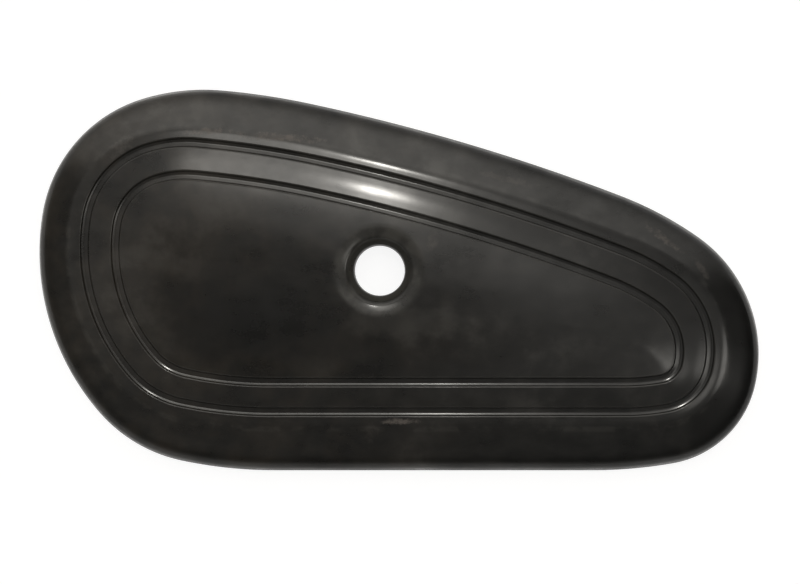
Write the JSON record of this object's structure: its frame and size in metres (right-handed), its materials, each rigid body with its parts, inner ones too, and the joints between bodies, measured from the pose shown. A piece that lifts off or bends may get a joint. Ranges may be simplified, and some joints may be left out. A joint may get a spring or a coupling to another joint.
{
  "type": "motorcycle tank knee pad",
  "caption": "Moulded black rubber knee pad for a fuel tank, with a broad heel, slim nose, rounded flank, grooves round its crowned front and a fixing hole with a rounded edge.",
  "frame": {"origin": "in the plane of the flat back, at the middle of the pad's length and width", "axes": "+X from the broad heel to the slim nose, +Y across the pad towards the slanted upper edge, +Z out of the grooved front"},
  "size_m": [0.24, 0.127, 0.0134],
  "materials": {
    "pad_rubber": "aged semi-gloss black rubber, slightly brown"
  },
  "bodies": {
    "root": {"knee_pad": "pad_rubber"}
  },
  "joints": []
}
